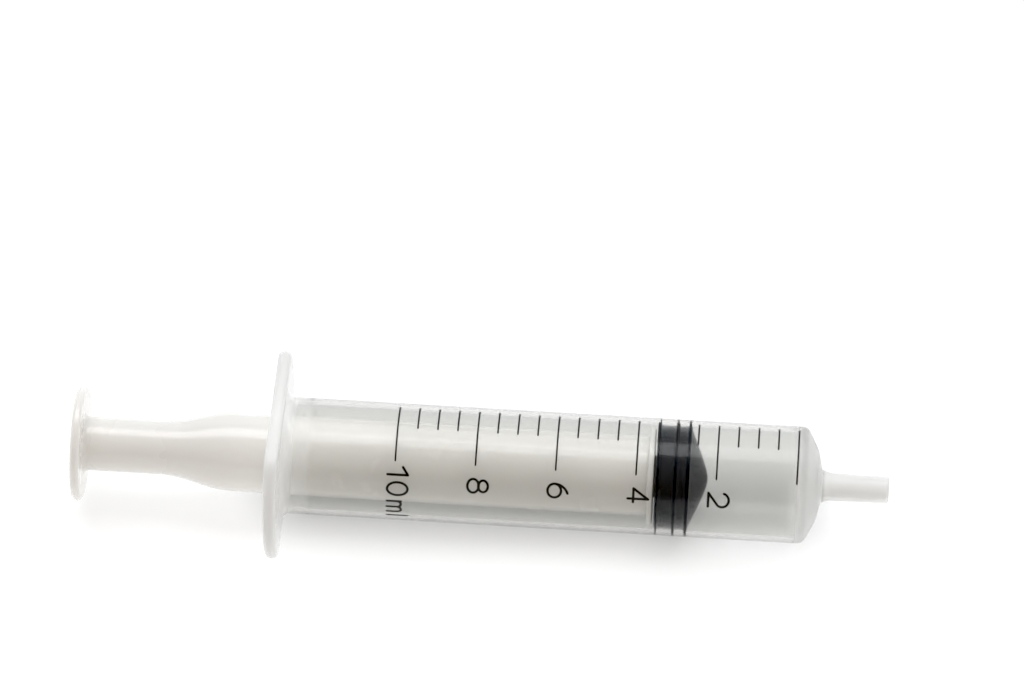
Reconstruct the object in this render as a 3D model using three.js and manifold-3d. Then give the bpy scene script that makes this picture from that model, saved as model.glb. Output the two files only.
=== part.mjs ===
/**
 * Oral syringe, 10 ml: a moulded barrel with a two-lobed finger flange and a slip tip, a round plunger rod,
 * a rubber stopper that snaps on the rod's head, and the dose scale printed on the barrel.
 *
 * Units are millimetres. +X runs along the barrel to the tip, +Y along the flange's long side, and +Z is up.
 * The syringe lies on a flat side of its flange, and the origin is under the middle of its box.
 * A station is a distance along the axis, measured from the flange's front face towards the tip.
 */
import * as THREE from 'three';
import { mergeVertices } from 'three/addons/utils/BufferGeometryUtils.js';
import Module from 'manifold-3d';

const wasm = await Module();
wasm.setup();

// Barrel tube
const BARREL_RADIUS = 8.3;
const BORE_RADIUS = 7.5;
const TUBE_END = 73.3;
const BORE_END = 73.1;
const MOUTH_CHAMFER = 0.4;
const BARREL_SEGMENTS = 60;

// Ring inside the mouth that keeps the stopper from being pulled out
const RETAINING_RING = { station: 2.5, halfWidth: 0.6, height: 0.35 };

// Finger flange: a disc cut by two flats, with rounded corners
const FLANGE = { radius: 15, halfWidth: 9.7, thickness: 1.85, corner: 2.5, edge: 0.4, fillet: 0.9 };
const FLANGE_ARC_SEGMENTS = 8;

// Shoulder and slip tip
const SHOULDER = [
  { radius: 8.1, station: 73.8 },
  { radius: 7.4, station: 74.5 },
  { radius: 5, station: 75.7 },
  { radius: 2.5, station: 76.3 },
];
const TIP = { rootStation: 77, rootRadius: 2, end: 85.9, endRadius: 1.85, round: 0.35, boreRadius: 1.05 };
const CHAMBER_APEX = 75.6;

// Plunger rod
const THUMB_DISC = { rear: -29.9, radius: 8.2, thickness: 1.3, edge: 0.45, fillet: 0.6 };
const NECK = { radius: 3.85, end: -17.9 };
const ROD = { radius: 5.65, start: -7, end: 51.8 };
const FLARE_STEPS = 8;
const FRONT_DISC = { radius: 6.9, thickness: 0.8, chamfer: 0.2 };
const SNAP_STEM = { radius: 2.9, length: 1.8 };
const SNAP_HEAD = { radius: 4.3, length: 2.3, taper: 0.9 };
const CORE_HOLE = { radius: 2.6, end: 48.5, point: 0.8 };
const ROD_SEGMENTS = 48;

// Stopper
const FIT_GAP = 0.3;
const STOPPER_REAR = ROD.end + FRONT_DISC.thickness + FIT_GAP;
const STOPPER = { landRadius: 7.2, ribRadius: 7.38 };
const NOSE = { base: 57.7, radius: 6.9, height: 2.5, blunting: 1.5 };
const RIBS = [
  { station: 53.1, halfWidth: 0.2 },
  { station: 55.65, halfWidth: 0.22 },
  { station: 57.4, halfWidth: 0.25 },
];
const NOSE_STEPS = 6;

// Printed scale. Angles turn round the axis from -Y towards +Z, in degrees.
const CAPACITY_ML = 10;
const MARK_STEP_ML = 0.5;
const NUMBERED_STEP_ML = 2;
const ZERO_STATION = 72.8;
const MM_PER_ML = 1000 / (Math.PI * BORE_RADIUS ** 2);
const MARKS = { far: 113, longNear: 45, shortNear: 80, width: 0.24, segmentDegrees: 6 };
const INK = { gap: 0.03, thickness: 0.06, pen: 0.36 };
const LETTERS = { height: 3.25, offset: 0.45, gap: 0.75, digitStart: 33.5, tenStart: 41 };
const CAP_STEPS = 4;
const RING_STEPS = 8;

// Places that follow from the sizes
const AXIS_HEIGHT = FLANGE.halfWidth;
const MIDDLE_STATION = (THUMB_DISC.rear + TIP.end) / 2;
const PRINT_RADIUS = BARREL_RADIUS + INK.gap;

const radians = THREE.MathUtils.degToRad;

/** A closed geometry as a solid that can be cut and joined. */
function toSolid(geometry) {
  const bare = geometry.clone();
  bare.deleteAttribute('normal');
  bare.deleteAttribute('uv');
  const merged = mergeVertices(bare, 1e-4);
  const mesh = new wasm.Mesh({
    numProp: 3,
    vertProperties: new Float32Array(merged.attributes.position.array),
    triVerts: new Uint32Array(merged.index.array),
  });
  return new wasm.Manifold(mesh);
}

/** A solid's vertices and triangles as a geometry. */
function toGeometry(solid) {
  const mesh = solid.getMesh();
  const geometry = new THREE.BufferGeometry();
  geometry.setAttribute('position', new THREE.BufferAttribute(new Float32Array(mesh.vertProperties), 3));
  geometry.setIndex(new THREE.BufferAttribute(new Uint32Array(mesh.triVerts), 1));
  geometry.computeVertexNormals();
  return geometry;
}

/** Points of an arc from one angle to another, in degrees, for a profile or an outline. */
function arc(centreX, centreY, radiusX, radiusY, fromDegrees, toDegrees, steps) {
  return Array.from({ length: steps + 1 }, (_, i) => {
    const angle = radians(fromDegrees + ((toDegrees - fromDegrees) * i) / steps);
    return new THREE.Vector2(centreX + radiusX * Math.cos(angle), centreY + radiusY * Math.sin(angle));
  });
}

/** A (radius, station) profile turned round the X axis. */
function turned(profile, segments) {
  return new THREE.LatheGeometry(profile, segments).rotateZ(-Math.PI / 2);
}

/** An outline in the (Y, Z) plane carried along X from a station. */
function acrossAxis(shape, station, options) {
  const outward = new THREE.Matrix4().makeBasis(
    new THREE.Vector3(0, 1, 0),
    new THREE.Vector3(0, 0, 1),
    new THREE.Vector3(1, 0, 0),
  );
  return new THREE.ExtrudeGeometry(shape, options).applyMatrix4(outward).translate(station, 0, 0);
}

function point(radius, station) {
  return new THREE.Vector2(radius, station);
}

// ---------------------------------------------------------------- barrel

/** The flange's outline: a disc cut by two flats, its four corners rounded. */
function flangeOutline() {
  const { radius, halfWidth, corner } = FLANGE;
  const cornerZ = halfWidth - corner;
  const cornerY = Math.sqrt((radius - corner) ** 2 - cornerZ ** 2);
  const turn = Math.atan2(cornerZ, cornerY);
  const shape = new THREE.Shape();
  shape.absarc(0, 0, radius, -turn, turn, false);
  shape.absarc(cornerY, cornerZ, corner, turn, Math.PI / 2, false);
  shape.absarc(-cornerY, cornerZ, corner, Math.PI / 2, Math.PI - turn, false);
  shape.absarc(0, 0, radius, Math.PI - turn, Math.PI + turn, false);
  shape.absarc(-cornerY, -cornerZ, corner, Math.PI + turn, 1.5 * Math.PI, false);
  shape.absarc(cornerY, -cornerZ, corner, 1.5 * Math.PI, 2 * Math.PI - turn, false);
  return shape;
}

function flangeGeometry() {
  const { thickness, edge } = FLANGE;
  return acrossAxis(flangeOutline(), edge - thickness, {
    depth: thickness - 2 * edge,
    bevelThickness: edge,
    bevelSize: edge,
    bevelOffset: -edge,
    bevelSegments: 2,
    curveSegments: FLANGE_ARC_SEGMENTS,
  });
}

/** The cylinder that opens the flange for the tube: inside the tube's wall, and past both faces. */
function flangeHoleGeometry() {
  const wallMiddle = (BARREL_RADIUS + BORE_RADIUS) / 2;
  const length = 2 * FLANGE.thickness;
  const hole = new THREE.CylinderGeometry(wallMiddle, wallMiddle, length, BARREL_SEGMENTS);
  return hole.rotateZ(-Math.PI / 2).translate(-FLANGE.thickness / 2, 0, 0);
}

/** Tube, shoulder and tip as one ring profile: up the outside to the tip, and back down the bore. */
function tubeGeometry() {
  const { fillet, thickness } = FLANGE;
  const { station, halfWidth, height } = RETAINING_RING;
  const profile = [
    point(BARREL_RADIUS, -thickness),
    point(BARREL_RADIUS + fillet, -thickness / 2),
    ...arc(BARREL_RADIUS + fillet, fillet, fillet, fillet, 270, 180, 4),
    point(BARREL_RADIUS, TUBE_END),
    ...SHOULDER.map((ring) => point(ring.radius, ring.station)),
    point(TIP.rootRadius, TIP.rootStation),
    ...arc(TIP.endRadius - TIP.round, TIP.end - TIP.round, TIP.round, TIP.round, 0, 90, 3),
    point(TIP.boreRadius, TIP.end),
    point(TIP.boreRadius, CHAMBER_APEX),
    point(BORE_RADIUS, BORE_END),
    point(BORE_RADIUS, station + halfWidth),
    ...arc(BORE_RADIUS, station, height, halfWidth, 150, 210, 2),
    point(BORE_RADIUS, station - halfWidth),
    point(BORE_RADIUS, MOUTH_CHAMFER - thickness),
    point(BORE_RADIUS + MOUTH_CHAMFER, -thickness),
    point(BARREL_RADIUS, -thickness),
  ];
  return turned(profile, BARREL_SEGMENTS);
}

function barrelGeometry() {
  const flange = toSolid(flangeGeometry()).subtract(toSolid(flangeHoleGeometry()));
  return toGeometry(flange.add(toSolid(tubeGeometry())));
}

// ---------------------------------------------------------------- plunger rod

/** The rise from the neck to the rod's full radius: half a cosine wave. */
function flareProfile() {
  return Array.from({ length: FLARE_STEPS + 1 }, (_, i) => {
    const share = i / FLARE_STEPS;
    const rise = (1 - Math.cos(Math.PI * share)) / 2;
    return point(
      NECK.radius + (ROD.radius - NECK.radius) * rise,
      NECK.end + (ROD.start - NECK.end) * share,
    );
  });
}

function rodGeometry() {
  const { rear, radius, thickness, edge, fillet } = THUMB_DISC;
  const front = rear + thickness;
  const discEnd = ROD.end + FRONT_DISC.thickness;
  const stemEnd = discEnd + SNAP_STEM.length;
  const headEnd = stemEnd + SNAP_HEAD.length;
  const profile = [
    point(0, CORE_HOLE.end + CORE_HOLE.point),
    point(CORE_HOLE.radius, CORE_HOLE.end),
    point(CORE_HOLE.radius, rear),
    ...arc(radius - edge, rear + edge, edge, edge, 270, 360, 3),
    ...arc(radius - edge, front - edge, edge, edge, 0, 90, 3),
    ...arc(NECK.radius + fillet, front + fillet, fillet, fillet, 270, 180, 3),
    ...flareProfile(),
    point(ROD.radius, ROD.end),
    point(FRONT_DISC.radius - FRONT_DISC.chamfer, ROD.end),
    point(FRONT_DISC.radius, ROD.end + FRONT_DISC.chamfer),
    point(FRONT_DISC.radius, discEnd - FRONT_DISC.chamfer),
    point(FRONT_DISC.radius - FRONT_DISC.chamfer, discEnd),
    point(SNAP_STEM.radius, discEnd),
    point(SNAP_STEM.radius, stemEnd),
    point(SNAP_HEAD.radius, stemEnd),
    point(SNAP_HEAD.radius, headEnd - SNAP_HEAD.taper),
    point(SNAP_HEAD.radius - SNAP_HEAD.taper, headEnd),
    point(0, headEnd),
  ];
  return turned(profile, ROD_SEGMENTS);
}

// ---------------------------------------------------------------- stopper

/** One sealing rib standing out of the stopper's side. */
function ribProfile({ station, halfWidth }) {
  const crest = halfWidth / 2;
  return [
    point(STOPPER.landRadius, station - halfWidth),
    point(STOPPER.ribRadius, station - crest),
    point(STOPPER.ribRadius, station + crest),
    point(STOPPER.landRadius, station + halfWidth),
  ];
}

/** The nose's side: a low cone with a rounded point, which is a hyperbola turned round the axis. */
function noseProfile() {
  const fall = (radius) => Math.hypot(radius, NOSE.blunting) - NOSE.blunting;
  return Array.from({ length: NOSE_STEPS + 1 }, (_, i) => {
    const radius = NOSE.radius * (1 - i / NOSE_STEPS);
    return point(radius, NOSE.base + NOSE.height * (1 - fall(radius) / fall(NOSE.radius)));
  });
}

/** The stopper: a socket with an undercut for the rod's head, ribbed sides, and the nose. */
function stopperGeometry() {
  const socketRadius = SNAP_HEAD.radius + FIT_GAP;
  const mouthRadius = SNAP_STEM.radius + FIT_GAP;
  const lipEnd = ROD.end + FRONT_DISC.thickness + SNAP_STEM.length - FIT_GAP;
  const socketEnd = lipEnd + SNAP_HEAD.length + 2 * FIT_GAP;
  const profile = [
    point(0, socketEnd),
    point(socketRadius - SNAP_HEAD.taper, socketEnd),
    point(socketRadius, socketEnd - SNAP_HEAD.taper),
    point(socketRadius, lipEnd),
    point(mouthRadius, lipEnd),
    point(mouthRadius, STOPPER_REAR),
    ...RIBS.flatMap(ribProfile),
    ...noseProfile(),
  ];
  return turned(profile, ROD_SEGMENTS);
}

// ---------------------------------------------------------------- printed scale

/** A graduation: a thin band of ink round part of the barrel, centred on its station. */
function graduationGeometry(station, nearDegrees) {
  const steps = Math.ceil((MARKS.far - nearDegrees) / MARKS.segmentDegrees);
  const [from, to] = [180 - MARKS.far, 180 - nearDegrees];
  const inner = arc(0, 0, PRINT_RADIUS, PRINT_RADIUS, to, from, steps);
  const outer = arc(0, 0, PRINT_RADIUS + INK.thickness, PRINT_RADIUS + INK.thickness, from, to, steps);
  const band = new THREE.Shape([...outer, ...inner]);
  return acrossAxis(band, station - MARKS.width / 2, { depth: MARKS.width, bevelEnabled: false });
}

/** A pen stroke along a line of points: offset half the pen's width to each side, with round ends. */
function stroke(points) {
  const half = INK.pen / 2;
  const directions = points.map((_, i) => {
    const before = points[Math.max(i - 1, 0)];
    const after = points[Math.min(i + 1, points.length - 1)];
    return (Math.atan2(after.y - before.y, after.x - before.x) * 180) / Math.PI;
  });
  const side = (quarterTurn) =>
    points.map((p, i) => arc(p.x, p.y, half, half, directions[i] + quarterTurn, directions[i], 1)[0]);
  const cap = (end, heading) => arc(end.x, end.y, half, half, heading - 90, heading + 90, CAP_STEPS);
  const endCap = cap(points.at(-1), directions.at(-1));
  const startCap = cap(points[0], directions[0] + 180);
  const rightSide = side(-90).slice(1, -1);
  const leftSide = side(90).slice(1, -1).reverse();
  return new THREE.Shape([...rightSide, ...endCap, ...leftSide, ...startCap]);
}

/** A closed oval drawn with the pen. */
function oval(centreX, centreY, radiusX, radiusY) {
  const half = INK.pen / 2;
  const shape = new THREE.Shape();
  shape.absellipse(centreX, centreY, radiusX + half, radiusY + half, 0, 2 * Math.PI, false);
  const hole = new THREE.Path();
  hole.absellipse(centreX, centreY, radiusX - half, radiusY - half, 0, 2 * Math.PI, true);
  shape.holes.push(hole);
  return shape;
}

function line(...corners) {
  return stroke(corners.map(([x, y]) => new THREE.Vector2(x, y)));
}

/**
 * The lettering, drawn in millimetres with x along the reading direction and y up.
 * Each letter's pen line runs between half a pen's width and its width or height less half a pen's width.
 */
function lettering() {
  const low = INK.pen / 2;
  const top = LETTERS.height - low;
  const wide = 2.4;
  const right = wide - low;
  const middle = wide / 2;
  const span = middle - low;
  const bowl = 0.95;
  const hookTurn = 35;
  const hookEnd = [
    middle + span * Math.cos(radians(hookTurn)),
    top - bowl * (1 + Math.sin(radians(hookTurn))),
  ];
  const flagX = 1.3;
  const flagDrop = 0.75;
  const lowerRing = 0.8;
  const upperRing = 0.675;
  const upperInset = 0.15;
  const stemX = 1.7;
  const barY = 0.95;
  const archTop = 2.15;
  const archRadius = 0.575;
  const archY = archTop - archRadius;
  const archEnds = [low + 2 * archRadius, low + 4 * archRadius];
  const archOver = (centre) => arc(centre, archY, archRadius, archRadius, 180, 0, 6);
  return {
    1: {
      width: flagX + low,
      strokes: [line([flagX, low], [flagX, top]), line([flagX, top], [low, top - flagDrop])],
    },
    2: {
      width: wide,
      strokes: [
        stroke(arc(middle, top - bowl, span, bowl, 165, -hookTurn, RING_STEPS)),
        line(hookEnd, [low, low]),
        line([low, low], [right, low]),
      ],
    },
    4: {
      width: wide,
      strokes: [
        line([stemX, low], [stemX, top]),
        line([stemX, top], [low, barY]),
        line([low, barY], [right, barY]),
      ],
    },
    6: {
      width: wide,
      strokes: [
        oval(middle, low + bowl, span, bowl),
        stroke(arc(right, low + bowl, 2 * span, 2, 180, 110, 6)),
      ],
    },
    8: {
      width: wide,
      strokes: [
        oval(middle, low + lowerRing, span, lowerRing),
        oval(middle, top - upperRing, span - upperInset, upperRing),
      ],
    },
    0: { width: wide, strokes: [oval(middle, LETTERS.height / 2, span, top - LETTERS.height / 2)] },
    m: {
      width: archEnds[1] + low,
      strokes: [
        line([low, low], [low, archTop]),
        stroke([...archOver(low + archRadius), new THREE.Vector2(archEnds[0], low)]),
        stroke([...archOver(archEnds[0] + archRadius), new THREE.Vector2(archEnds[1], low)]),
      ],
    },
    l: { width: INK.pen, strokes: [line([low, low], [low, top])] },
  };
}

/** A letter on the barrel: its flat strokes, carried outwards, keep only what lies in the skin of ink. */
function letterGeometry({ width, strokes }, startDegrees, footStation) {
  const half = radians(startDegrees) - width / 2 / PRINT_RADIUS;
  const outward = new THREE.Vector3(0, -Math.cos(half), Math.sin(half));
  const reading = new THREE.Vector3(0, -Math.sin(half), -Math.cos(half));
  const placed = new THREE.Matrix4().makeBasis(reading, new THREE.Vector3(1, 0, 0), outward);
  const depth = 2;
  const margin = 1;
  const prisms = strokes.map((shape) => {
    const prism = new THREE.ExtrudeGeometry(shape, { depth, bevelEnabled: false, curveSegments: RING_STEPS });
    return toSolid(prism.translate(-width / 2, 0, PRINT_RADIUS - depth / 2).applyMatrix4(placed));
  });
  const letter = prisms.reduce((joined, prism) => joined.add(prism));
  const [inner, outer] = [PRINT_RADIUS, PRINT_RADIUS + INK.thickness];
  const [foot, head] = [-margin, LETTERS.height + margin];
  const skin = turned(
    [point(inner, foot), point(outer, foot), point(outer, head), point(inner, head), point(inner, foot)],
    BARREL_SEGMENTS,
  );
  return toGeometry(letter.intersect(toSolid(skin))).translate(footStation, 0, 0);
}

// ---------------------------------------------------------------- assembly

const barrelPlastic = new THREE.MeshStandardMaterial({
  name: 'clear_polypropylene',
  color: 0xdde4e5,
  roughness: 0.22,
  metalness: 0,
  transparent: true,
  opacity: 0.35,
});
const rodPlastic = new THREE.MeshStandardMaterial({
  name: 'milky_polypropylene',
  color: 0xe9ebea,
  roughness: 0.32,
  metalness: 0,
});
const stopperRubber = new THREE.MeshStandardMaterial({
  name: 'black_rubber',
  color: 0x171b21,
  roughness: 0.55,
  metalness: 0,
});
const scaleInk = new THREE.MeshStandardMaterial({
  name: 'black_ink',
  color: 0x15140f,
  roughness: 0.6,
  metalness: 0,
});

const syringe = new THREE.Group();
syringe.position.set(-MIDDLE_STATION, 0, AXIS_HEIGHT);

function addPart(name, geometry, material) {
  const mesh = new THREE.Mesh(geometry, material);
  mesh.name = name;
  syringe.add(mesh);
}

addPart('barrel', barrelGeometry(), barrelPlastic);
addPart('plunger_rod', rodGeometry(), rodPlastic);
addPart('stopper', stopperGeometry(), stopperRubber);

for (let step = 0; step * MARK_STEP_ML <= CAPACITY_ML; step += 1) {
  const volume = step * MARK_STEP_ML;
  const near = volume % NUMBERED_STEP_ML === 0 ? MARKS.longNear : MARKS.shortNear;
  const label = String(volume).replace('.', '_');
  addPart(`graduation_${label}ml`, graduationGeometry(ZERO_STATION - volume * MM_PER_ML, near), scaleInk);
}

const letters = lettering();

function footStationOf(volume) {
  return ZERO_STATION - volume * MM_PER_ML + LETTERS.offset - LETTERS.height / 2;
}

for (const digit of [2, 4, 6, 8]) {
  const geometry = letterGeometry(letters[digit], LETTERS.digitStart, footStationOf(digit));
  addPart(`numeral_${digit}`, geometry, scaleInk);
}

let startDegrees = LETTERS.tenStart;
for (const [name, letter] of [
  ['numeral_10_one', letters[1]],
  ['numeral_10_zero', letters[0]],
  ['unit_m', letters.m],
  ['unit_l', letters.l],
]) {
  addPart(name, letterGeometry(letter, startDegrees, footStationOf(CAPACITY_ML)), scaleInk);
  startDegrees -= THREE.MathUtils.radToDeg((letter.width + LETTERS.gap) / PRINT_RADIUS);
}

export default syringe;
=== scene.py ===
"""A 10 ml oral syringe: its moulded plastics, rubber and print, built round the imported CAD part.

Lengths in the classes are millimetres, and meshes are metres in the part's frame: +X runs along the barrel to
the tip, +Y along the finger flange's long side, and +Z is up. A station is a distance along the axis from the
flange's front face towards the tip. An angle turns round the axis from -Y towards +Z.
"""

import logging
import math
from collections.abc import Mapping, Sequence
from dataclasses import dataclass
from enum import Enum
from typing import Any

import bpy
import numpy as np
from mathutils import Matrix, Vector


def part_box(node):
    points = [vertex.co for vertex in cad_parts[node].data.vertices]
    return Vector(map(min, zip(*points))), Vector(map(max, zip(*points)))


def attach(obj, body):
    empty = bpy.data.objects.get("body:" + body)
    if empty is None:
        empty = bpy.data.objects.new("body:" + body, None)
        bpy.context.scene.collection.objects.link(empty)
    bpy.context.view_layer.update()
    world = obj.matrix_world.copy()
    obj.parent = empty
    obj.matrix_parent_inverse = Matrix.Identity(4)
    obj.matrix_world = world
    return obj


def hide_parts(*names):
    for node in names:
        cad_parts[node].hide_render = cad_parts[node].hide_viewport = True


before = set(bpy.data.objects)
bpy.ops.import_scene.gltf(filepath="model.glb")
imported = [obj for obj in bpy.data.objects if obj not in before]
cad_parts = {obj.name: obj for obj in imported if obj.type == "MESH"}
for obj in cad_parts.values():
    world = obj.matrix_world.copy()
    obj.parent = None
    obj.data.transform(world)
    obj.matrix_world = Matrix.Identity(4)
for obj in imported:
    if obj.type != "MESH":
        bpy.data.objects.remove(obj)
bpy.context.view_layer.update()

log = logging.getLogger("syringe")

MM = 0.001
FLANGE_THICKNESS = 1.85
AXIS_Z = (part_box("barrel")[0].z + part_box("barrel")[1].z) / 2 / MM
FLANGE_FRONT_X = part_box("barrel")[0].x / MM + FLANGE_THICKNESS

# The point past the end of a rounding lies this share of the flat that is left away, and at most this far.
SUPPORT_SHARE = 0.3
SUPPORT_MOST_MM = 0.12

# Most values of a noise texture lie between these, and the bumps made from it are this deep.
NOISE_LOW, NOISE_HIGH = 0.3, 0.7
BUMP_MM = 0.02

Profile = np.ndarray
Corner = tuple[float, float, float]


class Body(Enum):
    """The CAD bodies that pieces ride on."""

    BARREL = "barrel"
    STOPPER = "stopper"
    PLUNGER = "plunger"


class Slot(Enum):
    """Names for the material slots."""

    BARREL = "barrel_polypropylene"
    PLUNGER = "plunger_polypropylene"
    STOPPER = "stopper_rubber"
    INK = "scale_ink"


class Ends(Enum):
    """How a surface made of rings is closed along its rows."""

    RING = "the last ring joins the first"
    POLES = "the first and last rings shrink to points"


# ------------------------------------------------------------------ shapes


def rounded_profile(corners: Sequence[Corner], turn_step: float = 9.0) -> Profile:
    """Rounds the corners of an open (radius, station) outline.

    At each corner an arc touches both sides, its ends at radius / tan(half the inner angle) from the corner.
    A point is added a little past each end of the arc, so that smooth shading stays flat on the flat parts.

    Args:
        corners: (radius, station, rounding) of each corner, in millimetres.
        turn_step: the most degrees that the outline turns between two points.

    Returns:
        The outline's points, one row each.
    """
    places = np.array([c[:2] for c in corners], float)
    sides = np.diff(places, axis=0)
    lengths = np.linalg.norm(sides, axis=1)
    headings = sides / lengths[:, None]
    roundings = np.array([c[2] for c in corners], float)
    turns = np.zeros(len(corners))
    crosses = headings[:-1, 0] * headings[1:, 1] - headings[:-1, 1] * headings[1:, 0]
    turns[1:-1] = np.arctan2(crosses, (headings[:-1] * headings[1:]).sum(1))
    cuts = roundings * np.tan(np.abs(turns) / 2)
    past = np.clip(SUPPORT_SHARE * (lengths - cuts[:-1] - cuts[1:]), 0, SUPPORT_MOST_MM)
    rows = [places[:1]]
    for i in range(1, len(corners) - 1):
        if roundings[i] <= 0:
            rows.append(places[i : i + 1])
            continue
        before, after = headings[i - 1], headings[i]
        side = np.sign(turns[i])
        start = places[i] - before * cuts[i]
        normal = side * np.array([-before[1], before[0]])
        steps = max(2, math.ceil(math.degrees(abs(turns[i])) / turn_step))
        swing = np.abs(turns[i]) * np.linspace(0, 1, steps + 1)[:, None]
        arc = start + roundings[i] * (np.sin(swing) * before + (1 - np.cos(swing)) * normal)
        rows += [(start - before * past[i - 1])[None], arc, (places[i] + after * (cuts[i] + past[i]))[None]]
    return np.concatenate([*rows, places[-1:]])


def around_axis(radii: np.ndarray, stations: np.ndarray, angles: np.ndarray) -> np.ndarray:
    """Places rings round the syringe's axis.

    The point at angle a and radius r is (station, -r cos a, r sin a) from the axis at the flange's front.

    Args:
        radii: radius of each point, rows by columns, in millimetres.
        stations: station of each point, in millimetres.
        angles: angle of each column, in radians.

    Returns:
        Points in the part's frame, in millimetres, with a last axis of three.
    """
    radii, stations, angles = np.broadcast_arrays(radii, stations, angles)
    return np.stack(
        [FLANGE_FRONT_X + stations, -radii * np.cos(angles), AXIS_Z + radii * np.sin(angles)],
        axis=-1,
    )


def mesh_object(name: str, points: np.ndarray, faces: Sequence[Sequence[int]]) -> bpy.types.Object:
    """Makes a smooth mesh object at the origin.

    Args:
        name: the piece's name.
        points: its vertices in millimetres.
        faces: vertex numbers of each face.

    Returns:
        The new object, linked to the scene.
    """
    mesh = bpy.data.meshes.new(name)
    mesh.from_pydata((points * MM).tolist(), [], faces)
    mesh.polygons.foreach_set("use_smooth", np.ones(len(mesh.polygons), bool))
    mesh.update()
    piece = bpy.data.objects.new(name, mesh)
    bpy.context.scene.collection.objects.link(piece)
    return piece


def ring_faces(rows: int, columns: int, ends: Ends) -> tuple[np.ndarray, np.ndarray]:
    """Numbers the faces that join rings of vertices.

    Face (j, i) joins rings j and j + 1 between columns i and i + 1, and columns wrap round. With poles,
    vertex 0 and the last vertex are the points that the first and last rings shrink to.

    Args:
        rows: how many rings, poles left out.
        columns: vertices in each ring.
        ends: how the rows are closed.

    Returns:
        The quads, and the triangles round the poles.
    """
    first = 1 if ends is Ends.POLES else 0
    index = first + np.arange(rows * columns).reshape(rows, columns)
    after = np.roll(index, -1, axis=1)
    below, above = (index, np.roll(index, -1, axis=0)) if ends is Ends.RING else (index[:-1], index[1:])
    below_after, above_after = (
        (after, np.roll(after, -1, axis=0)) if ends is Ends.RING else (after[:-1], after[1:])
    )
    quads = np.stack([below, below_after, above_after, above], axis=-1).reshape(-1, 4)
    if ends is Ends.RING:
        return quads, np.empty((0, 3), int)
    top = first + rows * columns
    fans = [
        np.stack([np.zeros(columns, int), after[0], index[0]], axis=-1),
        np.stack([np.full(columns, top), index[-1], after[-1]], axis=-1),
    ]
    return quads, np.concatenate(fans)


def surface_object(name: str, grid: np.ndarray, ends: Ends) -> bpy.types.Object:
    """Makes a closed piece from a grid of points, its faces turned outwards.

    The faces are turned round if the volume they enclose, a sixth of the sum of each face's corner products,
    comes out negative.

    Args:
        name: the piece's name.
        grid: rings by columns by three, in millimetres. With poles, the first and last rings are points.
        ends: how the rows are closed.

    Returns:
        The new object.
    """
    if ends is Ends.POLES:
        inner = grid[1:-1]
        points = np.concatenate([grid[:1, 0], inner.reshape(-1, 3), grid[-1:, 0]])
    else:
        inner = grid
        points = grid.reshape(-1, 3)
    quads, fans = ring_faces(inner.shape[0], inner.shape[1], ends)
    triangles = np.concatenate([quads[:, [0, 1, 2]], quads[:, [0, 2, 3]], fans])
    a, b, c = (points[triangles[:, k]] - points.mean(0) for k in range(3))
    if np.einsum("ij,ij->", a, np.cross(b, c)) < 0:
        quads, fans = quads[:, ::-1], fans[:, ::-1]
    return mesh_object(name, points, quads.tolist() + fans.tolist())


def turned(name: str, profile: Profile, columns: int, ends: Ends) -> bpy.types.Object:
    """Turns a (radius, station) profile round the syringe's axis.

    Args:
        name: the piece's name.
        profile: the profile's points, one row each, in millimetres.
        columns: how many points go round.
        ends: how the profile is closed.

    Returns:
        The new object.
    """
    angles = np.linspace(0, 2 * np.pi, columns, endpoint=False)
    grid = around_axis(profile[:, :1], profile[:, 1:], angles[None])
    return surface_object(name, grid, ends)


def joined(name: str, parts: Sequence[bpy.types.Object]) -> bpy.types.Object:
    """Joins overlapping closed pieces into one skin, with an exact boolean, and removes the pieces.

    Args:
        name: the new piece's name.
        parts: the pieces, in the same frame.

    Returns:
        The new object.
    """
    base, *others = parts
    for other in others:
        union = base.modifiers.new("union", "BOOLEAN")
        union.operation, union.solver, union.object = "UNION", "EXACT", other
    bpy.context.view_layer.update()
    mesh = bpy.data.meshes.new_from_object(base.evaluated_get(bpy.context.evaluated_depsgraph_get()))
    mesh.name = name
    for part in parts:
        bpy.data.objects.remove(part)
    piece = bpy.data.objects.new(name, mesh)
    bpy.context.scene.collection.objects.link(piece)
    return piece


# ------------------------------------------------------------------ finishes


def linear(colour: str) -> tuple[float, float, float, float]:
    """Turns an sRGB colour to a linear one.

    A part p becomes p / 12.92 when it is at most 0.04045, and ((p + 0.055) / 1.055) ^ 2.4 above that.

    Args:
        colour: six hex digits, such as "8090a0".

    Returns:
        Linear red, green and blue, and an alpha of 1.
    """
    parts = [int(colour[i : i + 2], 16) / 255 for i in (0, 2, 4)]
    red, green, blue = (p / 12.92 if p <= 0.04045 else ((p + 0.055) / 1.055) ** 2.4 for p in parts)
    return red, green, blue, 1.0


def add_node(
    tree: bpy.types.NodeTree,
    kind: str,
    inputs: Mapping[str | int, Any] | None = None,
    **settings: Any,
) -> bpy.types.Node:
    """Adds a node with its settings and links.

    Args:
        tree: the node tree.
        kind: the node's type name without "ShaderNode".
        inputs: a value or another node's output for each input, by the input's name or number.
        settings: the node's own properties.

    Returns:
        The new node.
    """
    node = tree.nodes.new("ShaderNode" + kind)
    for key, value in settings.items():
        setattr(node, key, value)
    for key, value in (inputs or {}).items():
        if isinstance(value, bpy.types.NodeSocket):
            tree.links.new(value, node.inputs[key])
        else:
            node.inputs[key].default_value = value
    return node


def new_material(name: str) -> tuple[bpy.types.Material, bpy.types.NodeTree, bpy.types.NodeSocket]:
    """Starts a node material.

    Args:
        name: the material's name.

    Returns:
        The material, its empty node tree but for the output, and its object coordinates.
    """
    material = bpy.data.materials.new(name)
    material.use_nodes = True
    tree = material.node_tree
    tree.nodes.clear()
    coordinates = add_node(tree, "TexCoord").outputs["Object"]
    return material, tree, coordinates


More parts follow.
